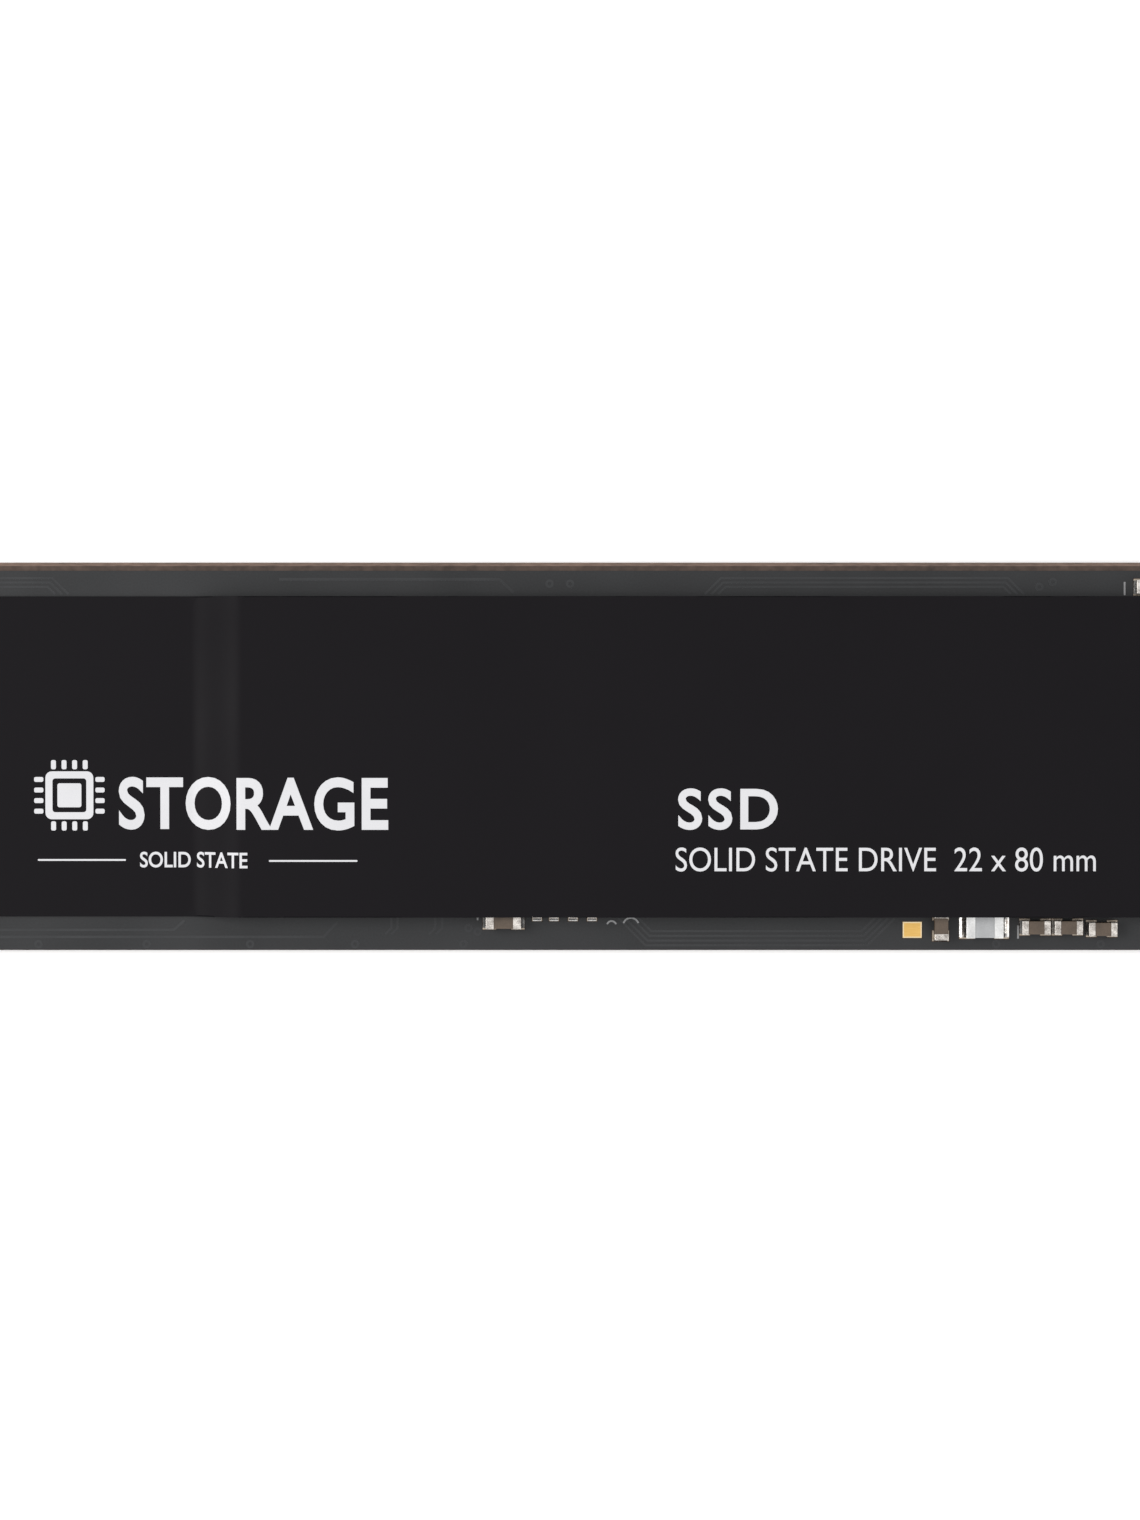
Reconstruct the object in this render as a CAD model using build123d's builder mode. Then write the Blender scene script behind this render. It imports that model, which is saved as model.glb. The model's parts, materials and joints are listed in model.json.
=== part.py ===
from build123d import *
from dataclasses import dataclass
from math import asin, degrees
import os

# Solid state drive on an M.2 board, 22 mm wide and 80 mm long, with an M key.
# Origin: middle of the board's length and width, at the underside of the lower label.
# +X points to the edge connector, +Z to the side that carries the parts. Millimetres.

# --- board ---
board_length = 80.0
board_width = 22.0
board_thickness = 0.80
coat_thickness = 0.03  # solder mask, copper lands and gold fingers
board_end = board_length / 2

# --- connector tab ---
tab_length = 4.0
tab_width = 19.85
shoulder_radius = 0.5
corner_radius = 0.3
bevel_run = 0.45
bevel_height = 0.20
score_depth = 0.20  # sloped faces left along the +Y edge where the board was snapped from its panel
pin_pitch = 0.25  # between neighbouring pin numbers, odd above and even below
middle_pin = 38
last_pin = 75
key_pins = range(59, 67)
key_y = -(sum(key_pins) / len(key_pins) - middle_pin) * pin_pitch
key_width = 1.2
key_depth = 3.5
finger_width = 0.35
finger_corner = 0.06
finger_tip_gap = 0.55
upper_finger_length = 2.0
lower_finger_length = 2.5
mask_window = 3.6  # bare laminate round the fingers and key notch, from the board's end

# --- screw notch, half round, at the end away from the connector ---
notch_radius = 1.75
notch_ring_radius = 2.75

# --- solder mask ---
mask_gap = 0.02
mask_gap_far_side = 0.47  # along the +Y edge
land_clearance = 0.04

# --- labels ---
label_width = 18.15
label_start = -36.0
label_end = 34.6
label_corner = 1.0
film_thickness = 0.10
glue_thickness = 0.05
label_low_end = -21.5  # from here the label climbs to the top of the chips
label_high_start = -18.5
lower_label_length = 60.0
lower_label_width = 19.0

# --- ball-grid packages ---
ball_height = 0.20
ball_radius = 0.23
package_top = 1.25  # above the board
substrate_thickness = 0.25
mould_chamfer = 0.05

flash_length = 12.0
flash_width = 18.0
flash_x = {"nand_a": -12.4, "nand_b": 8.6}
flash_ball_pitch = 1.0
flash_ball_columns = 10
flash_ball_rows = 6  # in each of two banks
flash_bank_y = 4.5
flash_dot_radius = 0.4
flash_dot_inset = 1.2
flash_dot_depth = 0.03
flash_die_length = 9.6
flash_die_width = 14.0
flash_die_thickness = 0.06
die_film_thickness = 0.01
dies_per_stack = 8
die_step = 0.16  # each die leaves the edge of the one below uncovered

controller_size = 10.5
controller_x = 21.8
controller_y = -0.5
controller_ball_pitch = 0.8
controller_ball_rows = 12
controller_die_length = 5.4
controller_die_width = 4.6
controller_die_thickness = 0.30

# --- power manager, flat no-lead package ---
pmic_size = 4.0
pmic_height = 0.85
pmic_x = 31.2
pmic_y = 2.6
pmic_leads_per_side = 6
pmic_lead_pitch = 0.5
pmic_lead_length = 0.4
pmic_lead_width = 0.24
pmic_lead_height = 0.2
pmic_pad_size = 2.4
pmic_land_reach = 0.2  # how far a land runs out past its lead

# --- crystal ---
crystal_length = 2.5
crystal_width = 2.0
crystal_base_height = 0.35
crystal_lid_height = 0.15
crystal_lid_margin = 0.15
crystal_land_length = 0.9
crystal_land_width = 0.8
crystal_x = 18.6
crystal_y = 7.4

# --- levels ---
board_bottom = film_thickness
board_top = board_bottom + board_thickness
core_bottom = board_bottom + coat_thickness
core_top = board_top - coat_thickness
chip_top = board_top + package_top
tab_start = board_end - tab_length


@dataclass(frozen=True)
class Chip:
    """A two-ended surface-mount part and the pair of copper lands it is soldered to."""

    length: float
    width: float
    height: float
    wrap: float  # reach of each metal end along the part
    plating: float  # thickness of the metal ends
    land_pitch: float
    land_length: float
    land_width: float
    fillet_rise: float


large_capacitor = Chip(2.0, 1.25, 0.85, 0.45, 0.03, 1.62, 0.75, 1.35, 0.55)
medium_capacitor = Chip(1.6, 0.80, 0.80, 0.35, 0.025, 1.18, 0.60, 0.95, 0.45)
small_capacitor = Chip(1.0, 0.50, 0.50, 0.25, 0.02, 0.92, 0.42, 0.56, 0.30)
resistor = Chip(1.0, 0.50, 0.35, 0.22, 0.02, 0.92, 0.42, 0.56, 0.22)
fuse = Chip(2.1, 1.25, 0.60, 0.50, 0.03, 1.98, 0.85, 1.35, 0.40)
inductor = Chip(2.5, 2.0, 1.20, 0.60, 0.05, 1.95, 0.90, 2.0, 0.50)
resistor_film_thickness = 0.02

# Places as (x, y, turn in degrees about Z). The first rows stand clear of the upper label.
large_capacitor_spots = [(-3.77, -9.15, 0)]
fuse_spots = [(23.52, -9.68, 0)]
medium_capacitor_spots = [
    (21.05, -9.60, 90),
    (26.42, -9.69, 0),
    (28.25, -9.69, 0),
    (30.20, -9.78, 0),
    (32.85, 9.60, 0),
    (28.5, 6.9, 90),
    (28.5, -4.6, 90),
    (34.0, 6.9, 90),
    (34.0, 2.6, 90),
    (34.0, -1.6, 90),
    (34.0, -4.6, 90),
]
small_capacitor_spots = [(x, -8.68, 90) for x in (-1.87, -0.91, 0.17, 1.25)]
small_capacitor_spots += [(x, y, 90) for x in (-4.4, 0.7) for y in (-5.4, -2.4, 0.6, 3.6, 6.6)]
small_capacitor_spots += [(17.8 + 2.0 * step, -7.1, 0) for step in range(5)]
small_capacitor_spots += [(22.6 + 1.9 * step, 6.3, 0) for step in range(3)]
resistor_spots = [(15.6, -5.5 + 2.5 * step, 90) for step in range(5)]
inductor_spots = [(31.4, 6.9, 0), (31.4, -1.6, 0), (31.4, -4.6, 0)]
placed_chips = [
    (large_capacitor, large_capacitor_spots),
    (fuse, fuse_spots),
    (medium_capacitor, medium_capacitor_spots),
    (small_capacitor, small_capacitor_spots),
    (resistor, resistor_spots),
    (inductor, inductor_spots),
]

test_pad_x = 19.44
test_pad_y = -9.85
test_pad_length = 1.08
test_pad_width = 0.91
lower_test_pad_radius = 0.5
lower_test_pad_x = 33.0
lower_test_pad_y = [-8.0 + 2.0 * step for step in range(9)]

CENTRED_ON_BASE = (Align.CENTER, Align.CENTER, Align.MIN)
os.makedirs("parts", exist_ok=True)


def save(piece, name):
    """Name a finished piece and write it as its own file."""
    piece.part.label = name
    export_step(piece.part, f"parts/{name}.step")


def spots_at(spots, height):
    """Locations of a list of (x, y, turn) places at one height."""
    return [Location((x, y, height), (0, 0, turn)) for x, y, turn in spots]


def finger_y(pin):
    """Place of a contact finger across the tab. Pin 1 is on the +Y side."""
    return -(pin - middle_pin) * pin_pitch


def chip_block(chip):
    """The body between and inside a chip part's metal ends."""
    skin = 2 * chip.plating
    with BuildPart(Plane.XY.offset(chip.plating)) as block:
        Box(chip.length - skin, chip.width - skin, chip.height - skin, align=CENTRED_ON_BASE)
        fillet(block.edges().filter_by(Axis.X), chip.plating)
    return block.part


def chip_ends(chip):
    """The two metal ends, each folded over five sides of the block."""
    end_x = (chip.length - chip.wrap) / 2
    with BuildPart() as ends:
        with Locations((-end_x, 0, 0), (end_x, 0, 0)):
            Box(chip.wrap, chip.width, chip.height, align=CENTRED_ON_BASE)
        fillet(ends.edges().filter_by(Axis.X), 1.6 * chip.plating)
        outer_faces = ends.faces().filter_by(Axis.X)
        outer_faces = [outer_faces.sort_by(Axis.X)[0], outer_faces.sort_by(Axis.X)[-1]]
        fillet([edge for face in outer_faces for edge in face.edges()], 0.9 * chip.plating)
        add(chip_block(chip), mode=Mode.SUBTRACT)
    return ends.part


def chip_fillets(chip):
    """Solder drawn up each end of a chip part, hollow like a wetted joint."""
    foot = (chip.land_pitch + chip.land_length) / 2
    end = chip.length / 2
    width = min(chip.width, chip.land_width) * 0.94
    with BuildPart() as fillets:
        with BuildSketch(Plane.XZ):
            with BuildLine():
                Line((end, 0), (foot, 0))
                RadiusArc((foot, 0), (end, chip.fillet_rise), 1.15 * chip.fillet_rise)
                Line((end, chip.fillet_rise), (end, 0))
            make_face()
        extrude(amount=width / 2, both=True)
        mirror(about=Plane.YZ)
    return fillets.part


def draw_lands(grow=0.0):
    """Outlines of every copper land on the upper face, each side moved out by grow."""
    for chip, spots in placed_chips:
        with Locations(*spots_at(spots, 0)):
            with GridLocations(chip.land_pitch, 0, 2, 1):
                Rectangle(chip.land_length + 2 * grow, chip.land_width + 2 * grow)
    with Locations((crystal_x, crystal_y)):
        with GridLocations(crystal_length - 0.8, crystal_width - 0.7, 2, 2):
            Rectangle(crystal_land_length + 2 * grow, crystal_land_width + 2 * grow)
    with Locations((pmic_x, pmic_y)):
        Rectangle(pmic_pad_size + 2 * grow, pmic_pad_size + 2 * grow)
        for turn in (0, 90, 180, 270):
            with Locations(Location((0, 0, 0), (0, 0, turn))):
                with Locations(((pmic_size - pmic_lead_length + pmic_land_reach) / 2, 0)):
                    with GridLocations(0, pmic_lead_pitch, 1, pmic_leads_per_side):
                        Rectangle(
                            pmic_lead_length + pmic_land_reach + 2 * grow,
                            pmic_lead_width + 2 * grow,
                        )


# --- board core ---
with BuildSketch() as board_outline:
    with Locations((-tab_length / 2, 0)):
        Rectangle(board_length - tab_length, board_width)
    with Locations((board_end - tab_length, 0)):
        Rectangle(2 * tab_length, tab_width)
    corners = board_outline.vertices().group_by(Axis.X)
    shoulders = board_outline.vertices().filter_by_position(Axis.X, tab_start - 0.1, tab_start + 0.1)
    fillet(shoulders.filter_by_position(Axis.Y, -tab_width / 2 - 0.1, tab_width / 2 + 0.1), shoulder_radius)
    fillet(corners[0] + corners[-1], corner_radius)
    with Locations((board_end - (key_depth - key_width / 2) / 2, key_y)):
        Rectangle(key_depth - key_width / 2, key_width, mode=Mode.SUBTRACT)
    with Locations((board_end - key_depth + key_width / 2, key_y)):
        Circle(key_width / 2, mode=Mode.SUBTRACT)
    with Locations((-board_end, 0)):
        Circle(notch_radius + coat_thickness, mode=Mode.SUBTRACT)

with BuildPart() as pcb_core:
    with BuildSketch(Plane.XY.offset(core_bottom)):
        add(board_outline.sketch)
    extrude(amount=core_top - core_bottom)
    for end_face in pcb_core.faces().filter_by(Axis.X).group_by(Axis.X)[-1]:
        long_edges = end_face.edges().filter_by(Axis.Y)
        chamfer(long_edges, length=bevel_height, length2=bevel_run, reference=end_face)
    chamfer(pcb_core.edges().filter_by(Axis.X).group_by(Axis.Y)[-1], score_depth)
save(pcb_core, "pcb_core")

# --- solder mask, one sheet on each face ---
with BuildSketch() as mask_outline:
    add(board_outline.sketch)
    offset(amount=-mask_gap)
    with Locations((0, board_width / 2)):
        Rectangle(board_length, 2 * mask_gap_far_side, mode=Mode.SUBTRACT)
    with Locations((board_end, 0)):
        Rectangle(2 * mask_window, board_width, mode=Mode.SUBTRACT)
    with Locations((-board_end, 0)):
        Circle(notch_ring_radius + land_clearance, mode=Mode.SUBTRACT)

with BuildPart() as solder_mask_top:
    with BuildSketch(Plane.XY.offset(core_top)):
        add(mask_outline.sketch)
        with Locations((test_pad_x, test_pad_y)):
            Rectangle(
                test_pad_length + 2 * land_clearance,
                test_pad_width + 2 * land_clearance,
                mode=Mode.SUBTRACT,
            )
        with BuildSketch(mode=Mode.SUBTRACT):
            draw_lands(grow=land_clearance)
    extrude(amount=coat_thickness)
save(solder_mask_top, "solder_mask_top")

with BuildPart() as solder_mask_bottom:
    with BuildSketch(Plane.XY.offset(board_bottom)):
        add(mask_outline.sketch)
        with Locations(*[(lower_test_pad_x, y) for y in lower_test_pad_y]):
            Circle(lower_test_pad_radius + land_clearance, mode=Mode.SUBTRACT)
    extrude(amount=coat_thickness)
save(solder_mask_bottom, "solder_mask_bottom")

# --- copper and gold on the board ---
with BuildPart() as component_lands:
    with BuildSketch(Plane.XY.offset(core_top)):
        draw_lands()
    extrude(amount=coat_thickness)
save(component_lands, "component_lands")

with BuildPart() as test_pads:
    with BuildSketch(Plane.XY.offset(core_top)):
        with Locations((test_pad_x, test_pad_y)):
            Rectangle(test_pad_length, test_pad_width)
    with BuildSketch(Plane.XY.offset(board_bottom)):
        with Locations(*[(lower_test_pad_x, y) for y in lower_test_pad_y]):
            Circle(lower_test_pad_radius)
    extrude(amount=coat_thickness)
save(test_pads, "test_pads")

for name, first_pin, level, length in (
    ("contact_fingers_top", 1, core_top, upper_finger_length),
    ("contact_fingers_bottom", 2, board_bottom, lower_finger_length),
):
    finger_x = board_end - finger_tip_gap - length / 2
    pins = [pin for pin in range(first_pin, last_pin + 1, 2) if pin not in key_pins]
    with BuildPart() as contact_fingers:
        with BuildSketch(Plane.XY.offset(level)):
            with Locations(*[(finger_x, finger_y(pin)) for pin in pins]):
                RectangleRounded(length, finger_width, finger_corner)
        extrude(amount=coat_thickness)
    save(contact_fingers, name)

# Plating of the screw notch: a ring on each face joined by the lining of the half hole.
with BuildPart() as screw_notch_plating:
    for level, height, radius in (
        (board_bottom, board_thickness, notch_radius + coat_thickness),
        (board_bottom, coat_thickness, notch_ring_radius),
        (core_top, coat_thickness, notch_ring_radius),
    ):
        with BuildSketch(Plane.XY.offset(level)):
            with Locations((-board_end, 0)):
                Circle(radius)
                Circle(notch_radius, mode=Mode.SUBTRACT)
            with Locations((-board_end - notch_ring_radius, 0)):
                Rectangle(2 * notch_ring_radius, 2 * notch_ring_radius, mode=Mode.SUBTRACT)
        extrude(amount=height)
save(screw_notch_plating, "screw_notch_plating")

# --- solder balls, cut flat where they meet the board and the package ---
ball_flat_angle = degrees(asin(ball_height / 2 / ball_radius))
with BuildPart() as ball:
    Sphere(ball_radius, arc_size1=-ball_flat_angle, arc_size2=ball_flat_angle)
ball_level = board_top + ball_height / 2

# --- flash memory packages ---
flash_substrate_bottom = board_top + ball_height
flash_mould_bottom = flash_substrate_bottom + substrate_thickness
die_pitch = flash_die_thickness + die_film_thickness
for name, centre_x in flash_x.items():
    with BuildPart() as flash_balls:
        with Locations((centre_x, flash_bank_y, ball_level), (centre_x, -flash_bank_y, ball_level)):
            with GridLocations(flash_ball_pitch, flash_ball_pitch, flash_ball_columns, flash_ball_rows):
                add(ball.part)
    save(flash_balls, f"{name}_solder_balls")

    with BuildPart(Plane.XY.offset(flash_substrate_bottom)) as flash_substrate:
        with Locations((centre_x, 0)):
            Box(flash_length, flash_width, substrate_thickness, align=CENTRED_ON_BASE)
    save(flash_substrate, f"{name}_substrate")

    first_die_x = centre_x - die_step * (dies_per_stack - 1) / 2
    film_spots = [
        (first_die_x + die_step * tier, 0, flash_mould_bottom + die_pitch * tier)
        for tier in range(dies_per_stack)
    ]
    with BuildPart() as flash_films:
        with Locations(*film_spots):
            Box(flash_die_length, flash_die_width, die_film_thickness, align=CENTRED_ON_BASE)
    save(flash_films, f"{name}_die_films")

    with BuildPart() as flash_dies:
        with Locations(*[(x, y, z + die_film_thickness) for x, y, z in film_spots]):
            Box(flash_die_length, flash_die_width, flash_die_thickness, align=CENTRED_ON_BASE)
    save(flash_dies, f"{name}_dies")

    with BuildPart() as flash_mould:
        with Locations((centre_x, 0, flash_mould_bottom)):
            Box(flash_length, flash_width, chip_top - flash_mould_bottom, align=CENTRED_ON_BASE)
        chamfer(flash_mould.faces().sort_by(Axis.Z)[-1].edges(), mould_chamfer)
        dot_x = centre_x - flash_length / 2 + flash_dot_inset
        with Locations((dot_x, flash_width / 2 - flash_dot_inset, chip_top)):
            Hole(radius=flash_dot_radius, depth=flash_dot_depth)
        add([flash_films.part, flash_dies.part], mode=Mode.SUBTRACT)
    save(flash_mould, f"{name}_mould")

# --- controller ---
controller_mould_bottom = board_top + ball_height + substrate_thickness
with BuildPart() as controller_solder_balls:
    with Locations((controller_x, controller_y, ball_level)):
        with GridLocations(
            controller_ball_pitch,
            controller_ball_pitch,
            controller_ball_rows,
            controller_ball_rows,
        ):
            add(ball.part)
save(controller_solder_balls, "controller_solder_balls")

with BuildPart(Plane.XY.offset(board_top + ball_height)) as controller_substrate:
    with Locations((controller_x, controller_y)):
        Box(controller_size, controller_size, substrate_thickness, align=CENTRED_ON_BASE)
save(controller_substrate, "controller_substrate")

with BuildPart(Plane.XY.offset(controller_mould_bottom)) as controller_die:
    with Locations((controller_x, controller_y)):
        Box(
            controller_die_length,
            controller_die_width,
            controller_die_thickness,
            align=CENTRED_ON_BASE,
        )
save(controller_die, "controller_die")

with BuildPart() as controller_mould:
    with Locations((controller_x, controller_y, controller_mould_bottom)):
        Box(
            controller_size,
            controller_size,
            chip_top - controller_mould_bottom,
            align=CENTRED_ON_BASE,
        )
    chamfer(controller_mould.faces().sort_by(Axis.Z)[-1].edges(), mould_chamfer)
    add(controller_die.part, mode=Mode.SUBTRACT)
save(controller_mould, "controller_mould")

# --- power manager ---
with BuildPart(Plane.XY.offset(board_top)) as pmic_leads:
    with Locations((pmic_x, pmic_y)):
        Box(pmic_pad_size, pmic_pad_size, pmic_lead_height, align=CENTRED_ON_BASE)
    for turn in (0, 90, 180, 270):
        with Locations(Location((pmic_x, pmic_y, 0), (0, 0, turn))):
            with Locations(((pmic_size - pmic_lead_length) / 2, 0)):
                with GridLocations(0, pmic_lead_pitch, 1, pmic_leads_per_side):
                    Box(pmic_lead_length, pmic_lead_width, pmic_lead_height, align=CENTRED_ON_BASE)
save(pmic_leads, "pmic_leads")

with BuildPart() as pmic_package:
    with Locations((pmic_x, pmic_y, board_top)):
        Box(pmic_size, pmic_size, pmic_height, align=CENTRED_ON_BASE)
    chamfer(pmic_package.faces().sort_by(Axis.Z)[-1].edges(), mould_chamfer)
    add(pmic_leads.part, mode=Mode.SUBTRACT)
save(pmic_package, "pmic_package")

# --- crystal ---
with BuildPart(Plane.XY.offset(board_top)) as crystal_base:
    with Locations((crystal_x, crystal_y)):
        Box(crystal_length, crystal_width, crystal_base_height, align=CENTRED_ON_BASE)
    fillet(crystal_base.edges().filter_by(Axis.Z), 0.12)
save(crystal_base, "crystal_base")

with BuildPart(Plane.XY.offset(board_top + crystal_base_height)) as crystal_lid:
    with Locations((crystal_x, crystal_y)):
        Box(
            crystal_length - 2 * crystal_lid_margin,
            crystal_width - 2 * crystal_lid_margin,
            crystal_lid_height,
            align=CENTRED_ON_BASE,
        )
    fillet(crystal_lid.edges().filter_by(Axis.Z), 0.25)
    fillet(crystal_lid.faces().sort_by(Axis.Z)[-1].edges(), 0.05)
save(crystal_lid, "crystal_lid")

# --- two-ended parts: a node of bodies and a node of metal ends for each size ---
for name, chip, spots in (
    ("capacitor_large", large_capacitor, large_capacitor_spots),
    ("capacitor_medium", medium_capacitor, medium_capacitor_spots),
    ("capacitor_small", small_capacitor, small_capacitor_spots),
    ("resistor", resistor, resistor_spots),
    ("fuse", fuse, fuse_spots),
    ("inductor", inductor, inductor_spots),
):
    with BuildPart() as bodies:
        with Locations(*spots_at(spots, board_top)):
            add(chip_block(chip))
    save(bodies, f"{name}_body" if len(spots) == 1 else f"{name}_bodies")

    with BuildPart() as terminals:
        with Locations(*spots_at(spots, board_top)):
            add(chip_ends(chip))
    save(terminals, f"{name}_terminals")

with BuildPart() as resistor_films:
    with Locations(*spots_at(resistor_spots, board_top + resistor.height - resistor.plating)):
        Box(
            resistor.length - 2 * resistor.wrap,
            resistor.width - 4 * resistor.plating,
            resistor_film_thickness,
            align=CENTRED_ON_BASE,
        )
save(resistor_films, "resistor_films")

with BuildPart() as solder_fillets:
    for chip, spots in placed_chips:
        with Locations(*spots_at(spots, board_top)):
            add(chip_fillets(chip))
save(solder_fillets, "solder_fillets")

# --- labels ---


def upper_label_sheet(level, thickness):
    """A sheet that lies on the board at one end and on the chips at the other."""
    rise = package_top
    low = board_top + level
    with BuildPart() as sheet:
        with BuildSketch(Plane.XZ):
            with BuildLine():
                Polyline(
                    (label_start, low),
                    (label_low_end, low),
                    (label_high_start, low + rise),
                    (label_end, low + rise),
                    (label_end, low + rise + thickness),
                    (label_high_start, low + rise + thickness),
                    (label_low_end, low + thickness),
                    (label_start, low + thickness),
                    close=True,
                )
            make_face()
        extrude(amount=label_width / 2, both=True)
        with BuildSketch():
            with Locations(((label_start + label_end) / 2, 0)):
                RectangleRounded(label_end - label_start, label_width, label_corner)
        extrude(amount=2 * chip_top, mode=Mode.INTERSECT)
    return sheet.part


with BuildPart() as top_label_glue:
    add(upper_label_sheet(0, glue_thickness))
save(top_label_glue, "top_label_glue")

with BuildPart() as top_label:
    add(upper_label_sheet(glue_thickness, film_thickness))
save(top_label, "top_label")

with BuildPart() as bottom_label:
    with BuildSketch():
        RectangleRounded(lower_label_length, lower_label_width, label_corner)
    extrude(amount=film_thickness)
save(bottom_label, "bottom_label")
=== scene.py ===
import json
import math
import random
from dataclasses import dataclass

import bmesh
import bpy
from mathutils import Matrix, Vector


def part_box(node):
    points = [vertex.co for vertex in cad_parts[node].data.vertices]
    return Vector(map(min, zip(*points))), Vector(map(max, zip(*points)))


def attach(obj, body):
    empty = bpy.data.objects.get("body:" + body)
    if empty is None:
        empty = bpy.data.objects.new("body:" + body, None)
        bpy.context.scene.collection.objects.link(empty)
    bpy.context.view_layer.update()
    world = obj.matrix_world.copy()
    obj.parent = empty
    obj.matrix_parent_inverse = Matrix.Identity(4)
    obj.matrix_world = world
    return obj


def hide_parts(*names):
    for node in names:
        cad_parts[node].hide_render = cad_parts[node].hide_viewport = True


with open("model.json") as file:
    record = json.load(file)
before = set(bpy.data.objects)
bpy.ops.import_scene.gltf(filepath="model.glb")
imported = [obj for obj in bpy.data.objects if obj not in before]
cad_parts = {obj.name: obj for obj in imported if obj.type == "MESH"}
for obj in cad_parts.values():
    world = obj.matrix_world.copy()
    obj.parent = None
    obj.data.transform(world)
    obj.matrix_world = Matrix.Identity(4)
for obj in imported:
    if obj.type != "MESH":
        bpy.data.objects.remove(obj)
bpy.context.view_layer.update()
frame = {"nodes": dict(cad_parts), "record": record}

# Looks of a bare-board solid state drive. The CAD nodes keep their shape and get materials.
# The labels are rebuilt as thin films that follow what lies under them. The print, traces,
# vias, silkscreen and the test pad's painted highlight rim are added as thin relief. Lengths in the
# code are millimetres.

MM = 0.001


# ---------------------------------------------------------------- sizes read from the frame

def box_mm(node):
    """Lowest and highest corner of a CAD node in millimetres."""
    low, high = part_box(node)
    return [value / MM for value in low], [value / MM for value in high]


BOARD_LOW, _ = box_mm("pcb_core")
_, MASK_HIGH = box_mm("solder_mask_top")
UNDER_MASK_LOW, _ = box_mm("solder_mask_bottom")
FILM_LOW, FILM_HIGH = box_mm("top_label")
GLUE_LOW, _ = box_mm("top_label_glue")
UNDER_FILM_LOW, UNDER_FILM_HIGH = box_mm("bottom_label")
FLASH_A_LOW, FLASH_A_HIGH = box_mm("nand_a_mould")
FLASH_B_LOW, FLASH_B_HIGH = box_mm("nand_b_mould")
CONTROLLER_LOW, CONTROLLER_HIGH = box_mm("controller_mould")
FINGERS_LOW, FINGERS_HIGH = box_mm("contact_fingers_top")

BOARD_TOP = MASK_HIGH[2]
BOARD_UNDER = UNDER_MASK_LOW[2]
GLUE_THICKNESS = FILM_LOW[2] - GLUE_LOW[2]
FILM_THICKNESS = UNDER_FILM_HIGH[2] - UNDER_FILM_LOW[2]
LOW_FILM_TOP = BOARD_TOP + GLUE_THICKNESS + FILM_THICKNESS  # where the film lies on the board
LABEL_RISE = FILM_HIGH[2] - LOW_FILM_TOP
LABEL_MIDDLE_Y = (FILM_LOW[1] + FILM_HIGH[1]) / 2
LABEL_HALF_WIDTH = (FILM_HIGH[1] - FILM_LOW[1]) / 2

random_source = random.Random(4)


# ---------------------------------------------------------------- materials

@dataclass(frozen=True)
class Finish:
    """One material slot: two colours it drifts between, its gloss and its grain, in mm."""

    dark: tuple
    light: tuple
    roughness: tuple
    grain: float
    metallic: float = 0.0
    specular: float = 0.5
    stretch: tuple = (1, 1, 1)
    bump: float = 0.15
    bump_depth: float = 0.004
    patch: float = 3.0
    level_shade: float = 1.0  # brightness of the level faces as a share of the cut ones


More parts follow.
